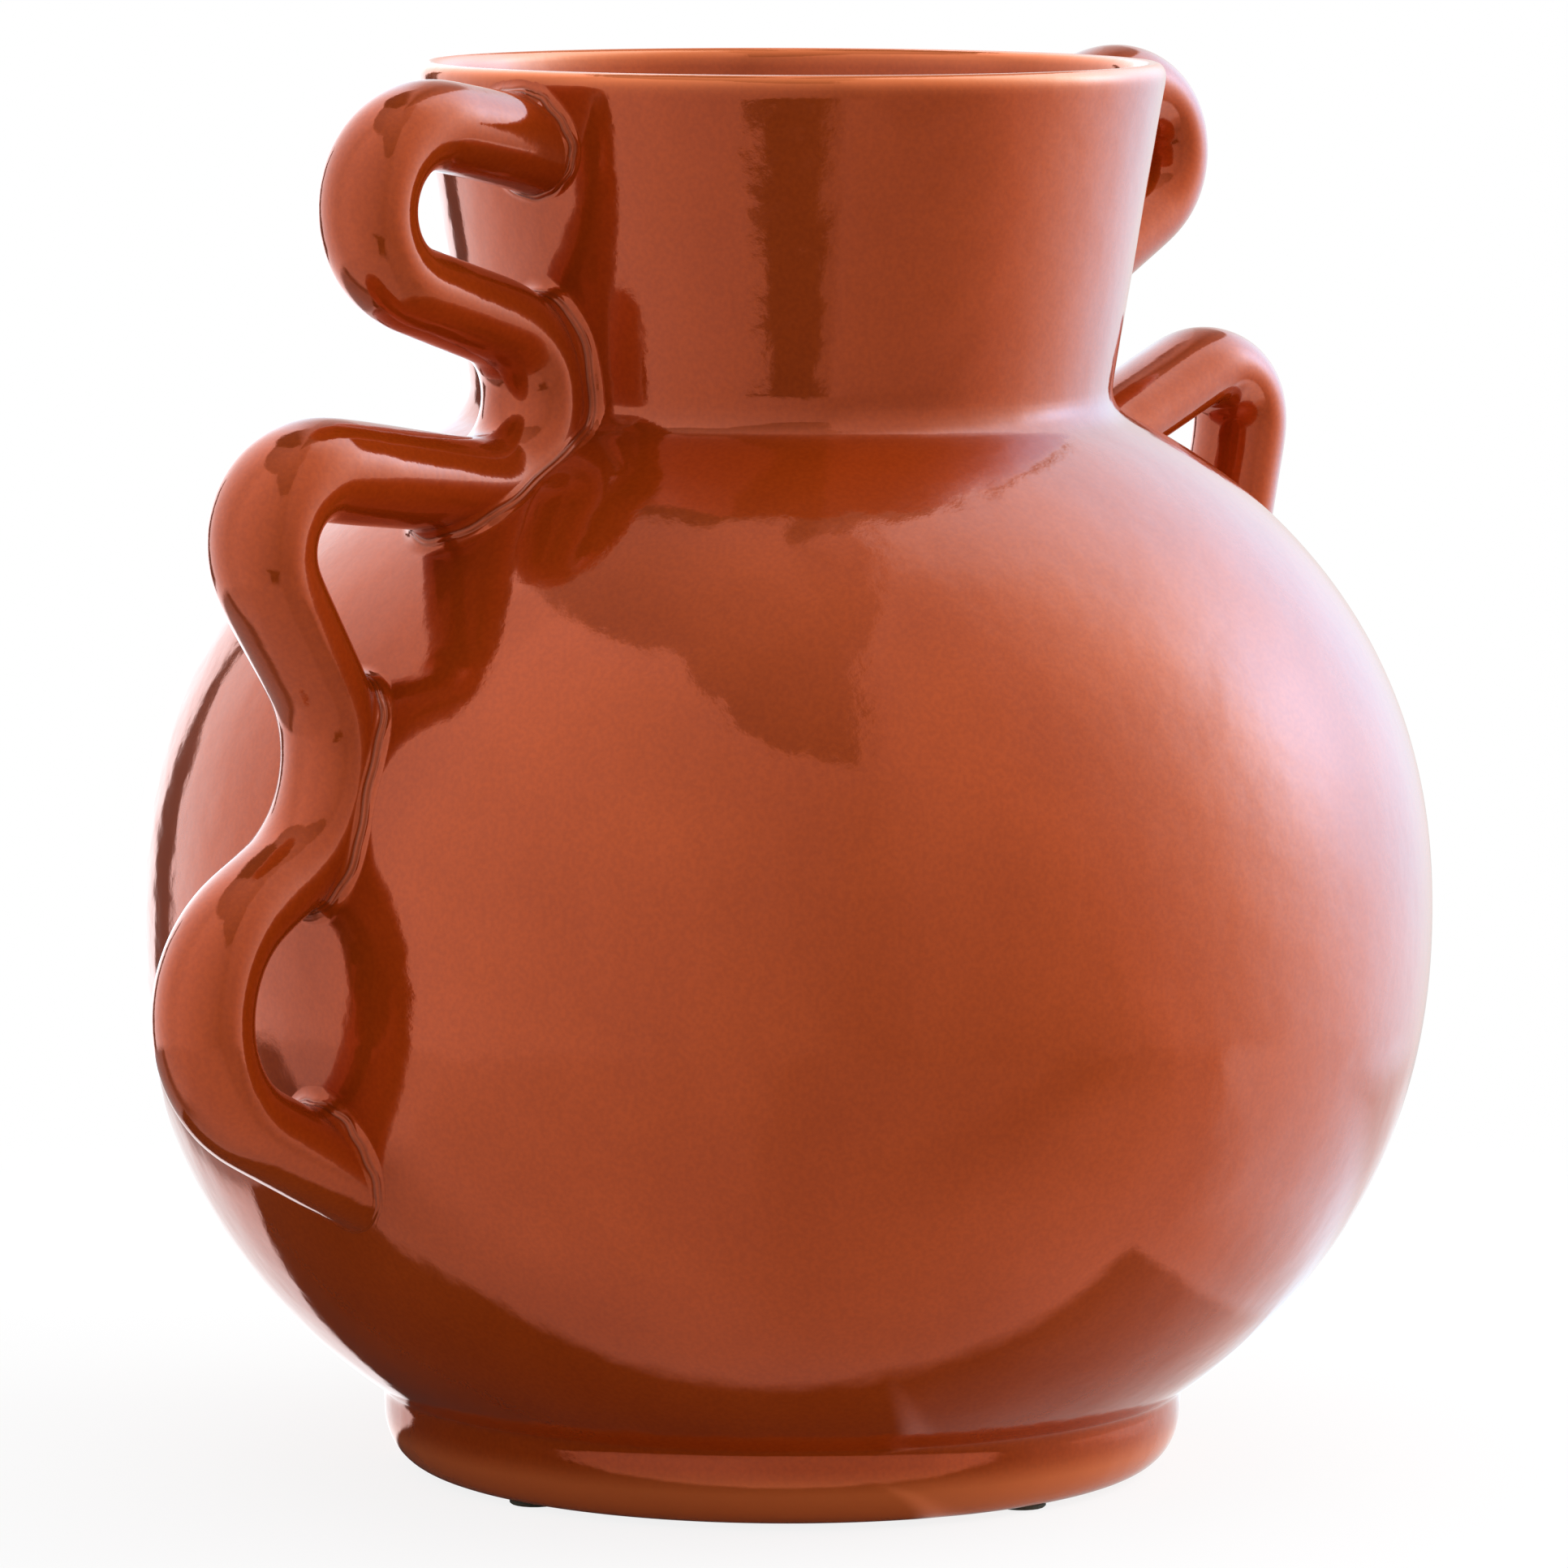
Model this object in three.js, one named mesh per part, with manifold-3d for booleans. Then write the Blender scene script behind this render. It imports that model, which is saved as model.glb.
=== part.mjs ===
// A large stoneware vase: a ball on a foot ring, a flared neck, and a squiggle handle on each side.
// Millimetres, +Z up. The origin is on the surface that the vase stands on, under the middle of its foot.
import * as THREE from "three";
import { mergeVertices } from "three/addons/utils/BufferGeometryUtils.js";
import Module from "manifold-3d";

const wasm = await Module();
wasm.setup();

// Driving dimensions of the turned body. Heights are above the underside of the foot ring.
const bodyHeight = 270;
const wall = 5;
const ballRadius = 124.9;
const ballCentreHeight = 106.4;
const ballUpperReach = 108.9;
const ballUpperFullness = 2.18;
const ballLowerReach = 112.4;
const ballLowerFullness = 2.14;
const footRadius = 77.1;
const footUndersideRadius = 70;
const footRoundHeight = 9;
const footWellRadius = 58.5;
const footWellDepth = 5;
const floorThickness = 7;
const neckBaseRadius = 62;
const rimRadius = 72.6;
const creaseFillet = 5;

// Driving dimensions of the handles: each is a coil of clay, oval in section, bent in one upright plane.
// It leaves the neck under the lip, bends to and fro round five centres, and ends in the ball.
// A level is a height by the vase's own marks: 0 at the foot, 1 at the ball's middle, 2 at the neck's base
// and 3 at the lip. A stand-off is measured level from the outside of the wall to the centre of a bend.
const startLevel = 2.766;
const endLevel = 0.596;
const endDepth = 9;
const bendClearance = 1.02;
const handles = [
  {
    side: "left",
    turn: Math.PI,
    coilWidth: 21.6,
    coilThickness: 17,
    topLoop: { level: 2.624, standOff: 26.1, radius: 15.4 },
    fold: { level: 2.078, standOff: 20, radius: 15.6 },
    secondLoop: { level: 1.804, standOff: 33, radius: 13.6 },
    ballBend: { level: 1.413, standOff: 28.2, radius: 25.6 },
    thirdLoop: { level: 0.938, standOff: 3.3, radius: 23.6 },
  },
  {
    side: "right",
    turn: 0,
    coilWidth: 21.4,
    coilThickness: 15.6,
    topLoop: { level: 2.687, standOff: 25.7, radius: 13.8 },
    fold: { level: 2.073, standOff: 20.4, radius: 16.3 },
    secondLoop: { level: 1.895, standOff: 44, radius: 11.2 },
    ballBend: { level: 1.41, standOff: 29, radius: 24.8 },
    thirdLoop: { level: 0.938, standOff: 4, radius: 22.8 },
  },
];

// The luting slip that fills the corner between the coil and the wall, and the clearance at each seam.
const seamWidth = 2.2;
const seamThickness = 1.8;
const seamClearance = 0.3;

// Self-adhesive pads under the foot ring.
const padDiameter = 9.6;
const padThickness = 0.9;
const padRingRadius = 65;
const padTurn = -2;
const padCount = 4;
const padEdgeRound = 0.3;

// Facets.
const bodySegments = 48;
const padSegments = 20;
const coilSides = 12;
const bendStep = 12;
const longestStep = 10;

const degrees = Math.PI / 180;

// Radius of the ball's outline, or of one drawn in by inset, at a height above the foot's underside.
function ballRadiusAt(height, inset = 0) {
  const rise = height - ballCentreHeight;
  const reach = (rise > 0 ? ballUpperReach : ballLowerReach) - inset;
  const fullness = rise > 0 ? ballUpperFullness : ballLowerFullness;
  const share = 1 - Math.abs(rise / reach) ** fullness;
  return (ballRadius - inset) * Math.max(share, 0) ** (1 / fullness);
}

// Height above or below the ball's middle at which its outline has a radius.
function ballHeightAt(radius, upper, inset = 0) {
  const reach = (upper ? ballUpperReach : ballLowerReach) - inset;
  const fullness = upper ? ballUpperFullness : ballLowerFullness;
  const rise = reach * (1 - (radius / (ballRadius - inset)) ** fullness) ** (1 / fullness);
  return ballCentreHeight + (upper ? rise : -rise);
}

// The ball's outline between two radii, through its widest point, with even steps of angle.
function ballArc(lowRadius, highRadius, steps, inset = 0) {
  const low = Math.acos(lowRadius / (ballRadius - inset));
  const high = Math.acos(highRadius / (ballRadius - inset));
  const points = [];
  for (let i = 0; i <= steps; i++) {
    const angle = -low + ((low + high) * i) / steps;
    const radius = (ballRadius - inset) * Math.cos(angle);
    points.push(new THREE.Vector2(radius, ballHeightAt(radius, angle > 0, inset)));
  }
  return points;
}

// A quarter or part turn of an ellipse.
function arc(centreRadius, centreHeight, reachOut, reachUp, fromAngle, toAngle, steps) {
  const points = [];
  for (let i = 0; i <= steps; i++) {
    const angle = (fromAngle + ((toAngle - fromAngle) * i) / steps) * degrees;
    points.push(new THREE.Vector2(
      centreRadius + reachOut * Math.cos(angle),
      centreHeight + reachUp * Math.sin(angle),
    ));
  }
  return points;
}

const neckBaseHeight = ballHeightAt(neckBaseRadius, true);
const lipRound = wall / 2;
const neckTopHeight = bodyHeight - lipRound;
const neckSlope = Math.atan2(rimRadius - neckBaseRadius, neckTopHeight - neckBaseHeight);

// The outside of the vase from the edge of the foot's flat underside to the top of the neck,
// moved outwards by offset.
function outsideOutline(offset) {
  const foot = arc(
    footUndersideRadius, footRoundHeight,
    footRadius - footUndersideRadius + offset, footRoundHeight + offset, -90, 0, 4,
  );
  const ball = ballArc(footRadius + offset, neckBaseRadius + offset + creaseFillet, 20, -offset);
  const crease = new THREE.Vector2(neckBaseRadius + offset, neckBaseHeight + offset / 2);
  const neckStart = new THREE.Vector2(
    crease.x + creaseFillet * Math.sin(neckSlope),
    crease.y + creaseFillet * Math.cos(neckSlope),
  );
  const fillet = new THREE.QuadraticBezierCurve(ball.at(-1), crease, neckStart).getPoints(3).slice(1);
  return [...foot, ...ball, ...fillet, new THREE.Vector2(rimRadius + offset, neckTopHeight)];
}

// The inside of the vase from the neck's top down to the middle of the floor.
function insideOutline() {
  const floorHeight = footWellDepth + floorThickness;
  const floorRadius = Math.min(footWellRadius, ballRadiusAt(floorHeight + wall, wall) - wall);
  const ball = ballArc(floorRadius + wall, neckBaseRadius - wall, 14, wall).reverse();
  return [
    new THREE.Vector2(rimRadius - wall, neckTopHeight),
    ...ball,
    new THREE.Vector2(floorRadius, floorHeight),
    new THREE.Vector2(0, floorHeight),
  ];
}

// Turns an outline about the vertical axis. The outline's x is a radius and its y a height.
function turned(outline, segments = bodySegments) {
  return new THREE.LatheGeometry(outline, segments).rotateX(Math.PI / 2);
}

// A closed geometry as a solid that can be joined and cut.
function solidOf(geometry) {
  const bare = geometry.clone();
  bare.deleteAttribute("normal");
  bare.deleteAttribute("uv");
  const merged = mergeVertices(bare, 1e-3);
  return new wasm.Manifold(new wasm.Mesh({
    numProp: 3,
    vertProperties: new Float32Array(merged.attributes.position.array),
    triVerts: new Uint32Array(merged.index.array),
  }));
}

// A solid as a geometry for drawing, with flat faces.
function geometryOf(solid) {
  const mesh = solid.getMesh();
  const geometry = new THREE.BufferGeometry();
  geometry.setAttribute("position", new THREE.BufferAttribute(new Float32Array(mesh.vertProperties), 3));
  geometry.setIndex(new THREE.BufferAttribute(new Uint32Array(mesh.triVerts), 1));
  geometry.computeVertexNormals();
  return geometry;
}

// Radius of the vase's outside at a height.
function wallRadiusAt(height) {
  if (height < neckBaseHeight) return ballRadiusAt(height);
  return neckBaseRadius + (height - neckBaseHeight) * Math.tan(neckSlope);
}

// The height of a level: see the handles' driving dimensions.
function heightOf(level) {
  const marks = [0, ballCentreHeight, neckBaseHeight, bodyHeight];
  const below = Math.min(Math.floor(level), marks.length - 2);
  return marks[below] + (level - below) * (marks[below + 1] - marks[below]);
}

// The centres that a handle bends round, from the top down. Lean is the radius of the bend, with a minus
// where the coil turns clockwise, and 0 at the two ends.
function bendCentres(handle) {
  const centre = ({ level, standOff, radius }, side) => ({
    at: new THREE.Vector2(wallRadiusAt(heightOf(level)) + standOff, heightOf(level)),
    lean: radius * side,
  });
  const centres = [
    centre({ level: startLevel, standOff: -2 * wall, radius: 0 }, 1),
    centre(handle.topLoop, -1),
    centre(handle.fold, 1),
    centre(handle.secondLoop, -1),
    centre(handle.ballBend, 1),
    centre(handle.thirdLoop, -1),
    centre({ level: endLevel, standOff: -endDepth, radius: 0 }, 1),
  ];
  // Bends that would meet are eased until they clear each other.
  const room = centres.slice(1).map(({ at, lean }, i) => (
    at.distanceTo(centres[i].at) / (Math.abs(lean - centres[i].lean) * bendClearance)
  ));
  const easing = Math.min(1, ...room);
  for (const bend of centres) {
    bend.lean *= easing;
  }
  return centres;
}

// An angle brought into one whole turn from nought.
function wrapped(angle) {
  return ((angle % (2 * Math.PI)) + 2 * Math.PI) % (2 * Math.PI);
}

// Points and headings along a handle's middle line: arcs round the centres, joined by their common tangents.
// In its upright plane, x is outwards and y is up. The line comes in four stretches that meet in the middle
// of each loop, because between two loops the coil touches the wall.
function handleStretches(handle) {
  const centres = bendCentres(handle);
  const headings = centres.slice(1).map((next, i) => {
    const way = next.at.clone().sub(centres[i].at);
    return way.angle() - Math.asin((next.lean - centres[i].lean) / way.length());
  });
  const onArc = ({ at, lean }, heading) => new THREE.Vector2(
    at.x + lean * Math.sin(heading),
    at.y - lean * Math.cos(heading),
  );
  const stretches = [[{ at: centres[0].at, heading: headings[0] }]];
  for (let i = 1; i < centres.length; i++) {
    const stretch = stretches.at(-1);
    const heading = headings[i - 1];
    const from = stretch.at(-1).at;
    const to = onArc(centres[i], heading);
    const steps = Math.ceil(from.distanceTo(to) / longestStep);
    for (let k = 1; k <= steps; k++) {
      stretch.push({ at: from.clone().lerp(to, k / steps), heading });
    }
    if (i === centres.length - 1) break;
    const side = Math.sign(centres[i].lean);
    const turn = side * wrapped(side * (headings[i] - heading));
    const halfSteps = Math.ceil(Math.abs(turn) / (2 * bendStep * degrees));
    for (let k = 1; k <= 2 * halfSteps; k++) {
      const next = heading + (turn * k) / (2 * halfSteps);
      const station = { at: onArc(centres[i], next), heading: next };
      stretches.at(-1).push(station);
      if (side < 0 && k === halfSteps) stretches.push([station]);
    }
  }
  return stretches;
}

// A length of a handle's coil as a closed tube of oval section, grown by margin all round.
function coil(handle, stations, margin) {
  const positions = [];
  const index = [];
  for (const { at, heading } of stations) {
    for (let k = 0; k < coilSides; k++) {
      const angle = (2 * Math.PI * k) / coilSides;
      const across = (handle.coilWidth / 2 + margin) * Math.sin(angle);
      const out = (handle.coilThickness / 2 + margin) * Math.cos(angle);
      positions.push(at.x - out * Math.sin(heading), across, at.y + out * Math.cos(heading));
    }
  }
  for (let i = 0; i < stations.length - 1; i++) {
    for (let k = 0; k < coilSides; k++) {
      const a = i * coilSides + k;
      const b = i * coilSides + ((k + 1) % coilSides);
      index.push(a, a + coilSides, b, b, a + coilSides, b + coilSides);
    }
  }
  const last = (stations.length - 1) * coilSides;
  for (let k = 1; k < coilSides - 1; k++) {
    index.push(0, k, k + 1);
    index.push(last, last + k + 1, last + k);
  }
  const geometry = new THREE.BufferGeometry();
  geometry.setAttribute("position", new THREE.Float32BufferAttribute(positions, 3));
  geometry.setIndex(index);
  return solidOf(geometry);
}

// The space filled by the vase as if it were solid, grown outwards by offset and carried on above the lip.
function filledBody(offset) {
  const clearAbove = 4 * wall;
  const outline = outsideOutline(offset);
  return solidOf(turned([
    new THREE.Vector2(0, -offset),
    ...outline,
    new THREE.Vector2(outline.at(-1).x, bodyHeight + clearAbove),
    new THREE.Vector2(0, bodyHeight + clearAbove),
  ]));
}

function material(name, color, roughness) {
  const made = new THREE.MeshStandardMaterial({ color, roughness, metalness: 0 });
  made.name = name;
  return made;
}

function named(name, geometry, itsMaterial) {
  const mesh = new THREE.Mesh(geometry, itsMaterial);
  mesh.name = name;
  return mesh;
}

const vase = new THREE.Group();
const fired = new THREE.Group();
fired.position.z = padThickness;
vase.add(fired);

// The body, hollow and open at the mouth, with a shallow well inside its foot ring.
function makeBody() {
  const lip = arc(rimRadius - lipRound, neckTopHeight, lipRound, lipRound, 0, 180, 6).slice(1, -1);
  const outline = [
    new THREE.Vector2(0, footWellDepth),
    new THREE.Vector2(footWellRadius - footWellDepth / 2, footWellDepth),
    new THREE.Vector2(footWellRadius, 0),
    ...outsideOutline(0),
    ...lip,
    ...insideOutline(),
  ];
  return named("vase_body", turned(outline), material("terracotta glaze", 0x9c4429, 0.12));
}
fired.add(makeBody());

// The rings of slip where the stretches of a coil meet the wall. Each gives way to the ring above it.
function seamRings(handle, stretches) {
  const corner = filledBody(seamClearance + seamThickness).subtract(filledBody(seamClearance));
  return stretches.map((stretch, i) => {
    const ring = coil(handle, stretch, seamWidth)
      .intersect(corner)
      .subtract(coil(handle, stretch, seamClearance));
    return i === 0 ? ring : ring.subtract(coil(handle, stretches[i - 1], seamWidth + seamClearance));
  });
}

// One handle, cut to sit on the wall, with its four rings of slip.
function makeHandle(handle) {
  const group = new THREE.Group();
  group.rotation.z = handle.turn;
  const stretches = handleStretches(handle);
  const middleLine = stretches.flatMap((stretch, i) => stretch.slice(Math.min(i, 1)));
  const shape = coil(handle, middleLine, 0).subtract(filledBody(seamClearance));
  const coilGlaze = material("terracotta glaze on the coil", 0xa04a2c, 0.12);
  group.add(named("handle_" + handle.side, geometryOf(shape), coilGlaze));
  const rings = seamRings(handle, stretches);
  ["neck", "shoulder", "upper_belly", "lower_belly"].forEach((place, i) => {
    const name = "slip_seam_" + handle.side + "_" + place;
    group.add(named(name, geometryOf(rings[i]), material("pooled glaze", 0x5a2a20, 0.18)));
  });
  return group;
}
for (const handle of handles) {
  fired.add(makeHandle(handle));
}

// A pad, round, with an eased lower edge.
function makePad(number) {
  const radius = padDiameter / 2;
  const outline = [
    new THREE.Vector2(0, 0),
    new THREE.Vector2(radius - padEdgeRound, 0),
    new THREE.Vector2(radius, padEdgeRound),
    new THREE.Vector2(radius, padThickness),
    new THREE.Vector2(0, padThickness),
  ];
  const rubber = material("rubber pad", 0x4a4636, 0.8);
  const pad = named("foot_pad_" + number, turned(outline, padSegments), rubber);
  const angle = padTurn * degrees + (2 * Math.PI * (number - 1)) / padCount;
  pad.position.set(padRingRadius * Math.cos(angle), padRingRadius * Math.sin(angle), 0);
  return pad;
}
for (let number = 1; number <= padCount; number++) {
  vase.add(makePad(number));
}

export default vase;
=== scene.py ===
import math

import bpy
import numpy as np
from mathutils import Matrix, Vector


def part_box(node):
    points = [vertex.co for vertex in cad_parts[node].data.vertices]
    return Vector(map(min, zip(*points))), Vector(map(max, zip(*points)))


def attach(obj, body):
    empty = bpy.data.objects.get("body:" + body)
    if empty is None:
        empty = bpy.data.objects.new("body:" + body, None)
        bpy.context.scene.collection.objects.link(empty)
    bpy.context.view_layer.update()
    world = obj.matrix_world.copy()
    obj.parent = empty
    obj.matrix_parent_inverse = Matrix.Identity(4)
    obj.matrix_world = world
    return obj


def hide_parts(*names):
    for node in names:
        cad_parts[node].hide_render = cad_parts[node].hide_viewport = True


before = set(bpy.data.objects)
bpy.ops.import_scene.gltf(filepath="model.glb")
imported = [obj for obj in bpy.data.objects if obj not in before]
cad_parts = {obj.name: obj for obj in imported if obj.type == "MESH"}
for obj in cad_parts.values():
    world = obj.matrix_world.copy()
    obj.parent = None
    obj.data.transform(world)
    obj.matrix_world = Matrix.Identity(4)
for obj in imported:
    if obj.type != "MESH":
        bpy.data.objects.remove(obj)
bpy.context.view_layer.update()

MM = 0.001

# Sizes of the turned body, in millimetres, with heights above the underside of the foot ring. The ball's
# outline is a little fuller than an ellipse, whose fullness would be 2, and reaches less far up than down.
BODY_HEIGHT = 270.0
WALL = 5.0
BALL_RADIUS = 124.9
BALL_CENTRE = 106.4
BALL_UPPER_REACH = 108.9
BALL_UPPER_FULLNESS = 2.18
BALL_LOWER_REACH = 112.4
BALL_LOWER_FULLNESS = 2.14
FOOT_RADIUS = 77.1
FOOT_UNDERSIDE_RADIUS = 69.0
FOOT_ROUND = 10.5
FOOT_WELL_RADIUS = 58.5
FOOT_WELL_DEPTH = 5.0
FLOOR_THICKNESS = 7.0
NECK_BASE_RADIUS = 62.0
RIM_RADIUS = 72.6
CREASE_FILLET = 5.0
PAD_COUNT = 4
PAD_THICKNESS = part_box("foot_pad_1")[1][2] / MM

# The outline's curves are worked out with so many points. It is then put at even steps, and its corners are
# softened. The last two say how far it runs, or by how much it turns, between two rings of the mesh.
BALL_POINTS = 160
ARC_POINTS = 8
OUTLINE_STEP = 0.4
OUTLINE_SOFTNESS = 1.1
BODY_SEGMENTS = 272
RING_STEP = 4.0
RING_TURN = math.radians(5)

# The hand's unevenness, in millimetres. Each wave round the body has its share, how many times it swings in
# a round, its start, and how far it turns with each millimetre of height, both in radians. The neck is
# pressed in as well, from a little below its base upward. On its true side, whose direction is in degrees
# from +X, it isn't pressed in, and opposite that side it is by twice this amount.
HAND_UNEVENNESS = 0.1
HAND_WAVES = [(1.0, 2, 0.0, 0.02), (0.6, 5, 1.0, -0.05)]
NECK_PRESSED = 0.65
NECK_TRUE_SIDE = -46.0
NECK_PRESSED_BELOW = 9.0
NECK_PRESSED_WITHIN = 16.0

# Sizes of the coil handles, in millimetres. Each bends to and fro round five centres, from the top down.
# A centre's level is 0 at the foot, 1 at the ball's middle, 2 at the neck's base and 3 at the lip, and then
# come its stand-off from the wall and the radius of the bend. A coil's swell has distances along the coil,
# each with the share by which the hand left it thicker there.
COIL_START = (2.766, -2 * WALL, 0.0)
COIL_END = (0.596, -9.0, 0.0)
HANDLES = {
    "left": {
        "sign": -1.0,
        "width": 21.4,
        "thickness": 17.0,
        "bends": [
            (2.624, 25.7, 15.4),
            (2.078, 20.0, 15.6),
            (1.806, 31.0, 13.8),
            (1.413, 27.0, 25.6),
            (0.938, 3.1, 23.5),
        ],
        "swell": [
            (0, 0.12), (14, 0.02), (60, -0.05), (110, 0.0), (150, 0.06), (180, 0.15),
            (205, 0.06), (235, -0.04), (280, -0.08), (305, 0.0), (335, -0.05), (370, 0.0),
        ],
    },
    "right": {
        "sign": 1.0,
        "width": 21.4,
        "thickness": 15.6,
        "bends": [
            (2.687, 24.4, 13.8),
            (2.078, 20.4, 16.3),
            (1.905, 41.7, 11.4),
            (1.41, 28.5, 24.8),
            (0.938, 3.7, 22.8),
        ],
        "swell": [(0, 0.08), (20, 0.0), (60, -0.02), (180, 0.0), (240, -0.03), (300, -0.01), (370, 0.0)],
    },
}

# How finely the coils are made, over what length their bends and their swell are softened, and how deep
# they are sunk into the wall where they meet it.
BEND_POINTS = 60
COIL_STEP = 0.8
COIL_SIDES = 72
COIL_SOFTNESS = 2.4
SWELL_SOFTNESS = 6.0
COIL_DEPTH = 1.5

# The luting slip, in millimetres: a hollow fillet between coil and wall, with its back a little way behind
# its face. Two fine grooves run along its middle and wander across it. Each wave of that wandering has its
# share of the fillet's width, how many times it swings in a round, and its start in radians. A path counts
# as a contact from the shortest length up, and the fillet's edges show from the sharp angle up.
SLIP_PLACES = ("neck", "shoulder", "upper_belly", "lower_belly")
SLIP_RADIUS = 2.9
SLIP_BACK = 0.9
SLIP_STEP = 0.5
SLIP_SMOOTHINGS = 6
SLIP_SHORTEST = 8 * SLIP_RADIUS
SLIP_FACE_POINTS = 33
SLIP_BACK_POINTS = 9
SLIP_SHARP = math.radians(50)
GROOVE_DEPTH = 0.25
GROOVE_WIDTH = 0.32
GROOVE_SPACING = 0.95
GROOVE_SECOND = 0.7
GROOVE_WANDER = [(0.05, 5, 1.0), (0.03, 13, 0.0)]

# The camera: its direction from the vase in degrees, round from -Y and up, its distance in metres, its lens
# and sensor in millimetres, its roll in radians, and the height in metres of its aim on the vase's axis.
CAMERA_AZIMUTH = -46.0
CAMERA_ELEVATION = 6.65
CAMERA_DISTANCE = 1.771
CAMERA_LENS = 211.3
CAMERA_SENSOR = 36.0
CAMERA_ROLL = 0.003
CAMERA_TARGET = 0.1309 + PAD_THICKNESS * MM

# The glaze's colours, its roughness from smoothest to roughest, how strongly it bends light, and how much
# of its sheen is coppery rather than clear.
GLAZE_LUSTRE = 0.45
GLAZE_IOR = 1.52
GLAZE_ROUGHNESS = (0.05, 0.11)
GLAZE_DARK = (0.385, 0.050, 0.003)
GLAZE_LIGHT = (0.435, 0.060, 0.005)
GLAZE_SPECKLE = (0.88, 0.85, 0.82)
GLAZE_POOLED = (0.15, 0.028, 0.006)
# The light colour below is partly the glaze breaking at the lip's edge and partly painted light: a painted
# highlight on the lip and a painted reflection on the foot's lower edge.
GLAZE_THIN_AND_PAINTED_SHEEN = (0.82, 0.20, 0.055)

# How strongly the glaze's colour turns where it pools, in the grooves and in the crease at the neck's base,
# and toward its light colour at the lip, where the glaze breaks at the edge under a painted highlight, and
# at the foot's lower edge, as a painted reflection. Each place has its reach in millimetres.
POOLED_STRENGTH = 0.7
CREASE_POOLED = 0.3
CREASE_RISE = 1.0
CREASE_REACH = 3.0
LIP_THIN_AND_PAINTED_HIGHLIGHT = 0.85
LIP_REACH = 2.2
FOOT_PAINTED_REFLECTION = 0.62
FOOT_REACH = 4.0

# The glaze's patterns, finer the larger their scale, and its relief, with each distance in metres.
MOTTLE_SCALE = 38.0
MOTTLE_RANGE = (0.3, 0.72)
SPECKLE_SCALE = 1150.0
SPECKLE_RANGE = (0.35, 0.66)
RIPPLE_SCALE = 75.0
RIPPLE_STRENGTH = 0.3
RIPPLE_DISTANCE = 0.0009
PEEL_STRENGTH = 0.10
PEEL_DISTANCE = 0.0001

# The pads' soft rubber, in the same way.
RUBBER_DARK = (0.045, 0.040, 0.026)
RUBBER_LIGHT = (0.085, 0.076, 0.050)
RUBBER_ROUGHNESS = 0.75
RUBBER_SCALE = 1400.0
RUBBER_STRENGTH = 0.3
RUBBER_DISTANCE = 0.0001

# The studio as the glaze reflects it. A place on its map is a direction in degrees: round from the camera
# to its right, and up. Each patch has its corners, softness, level at the first corner, and growth each way.
# The panels are laid down first, then the two glows of the window on the right are added, and then the
# shades go over both. A glow has its centre, its reach each way and its peak.
STUDIO_DARK = 0.2
STUDIO_PANELS = [
    ([(-90, -95), (30, -95), (30, 100), (-90, 100)], 1.0, 1.27, (-0.0113, 0.0052)),
    ([(-200, -95), (-80, -95), (-80, 100), (-200, 100)], 14, 3.6, (-0.022, 0.0025)),
    ([(20, -95), (200, -95), (200, 100), (20, 100)], 8, -0.15, (-0.0044, 0.0088)),
    ([(16, -95), (90, -95), (90, -19.5), (16, -19.5)], 1, 0.62, (-0.004, 0)),
]
STUDIO_WINDOW = [((111, 20), (11, 12), 6.7), ((122, 26), (29, 32), 6.4)]
STUDIO_SHADES = [
    ([(-200, 56), (24, 63), (24, 100), (-200, 100)], 1.0, 0.58, (0, 0.0125)),
    ([(-34, 61), (1, 38.5), (14.5, 37), (22.8, 63), (22.8, 80), (-34, 80)], 0.6, 0.64, (0, 0.0125)),
    ([(20, 61.5), (69, 80.5), (69, 100), (20, 100)], 1.0, 0.70, (0.001, 0.005)),
    ([(60, 78), (133, 79), (133, 100), (60, 100)], 2, 0.85, (0.004, -0.02)),
    ([(133, 75), (142, 60), (164, 30), (200, -5), (200, 100), (133, 100)], 1.0, 0.72, (-0.0139, -0.0048)),
    ([(-200, 50), (-150, 50), (-135, 60), (-130, 78), (-200, 82)], 1.5, 0.15, (0, 0)),
    ([(-7, -19.5), (10.8, -19.5), (10.8, -95), (-7, -95)], 0.8, 0.1, (0, 0)),
    ([(-7.2, -22.5), (11, -22.5), (14, -20.8), (14, -19.5), (-15, -19.5), (-15, -20.8)], 0.6, 0.1, (0, 0)),
    ([(-148, -16), (-134, -16), (-137, 0), (-140, 16), (-143, 16), (-147, -2)], 1.0, 0.12, (0, 0)),
    ([(-200, -95), (-174, -95), (-174, 100), (-200, 100)], 9, 1.0, (0, 0)),
    ([(174, -95), (200, -95), (200, 100), (174, 100)], 9, 1.0, (0, 0)),
]

# Strong light is taken to cool: its red and green grow by less than its blue. On the left it cools by this
# share only. The sides are told apart by a rightness that runs from -1 to 1, and they blend in this range.
COOLING_RED = -0.56
COOLING_GREEN = -0.20
COOLING_LEFT = 0.25
COOLING_SIDES = (-0.5, 0.1)

# The even light that the glaze scatters, and the lamp on the right, whose direction is in degrees round
# from the camera to its right and up. Its distance and size are in metres.
AMBIENT = 0.68
AMBIENT_FROM_ABOVE = 0.55
AMBIENT_FROM_RIGHT = 0.2
KEY_AZIMUTH = 100
KEY_ELEVATION = 25
KEY_DISTANCE = 1.6
KEY_SIZE = 1.2
KEY_POWER = 18
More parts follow.
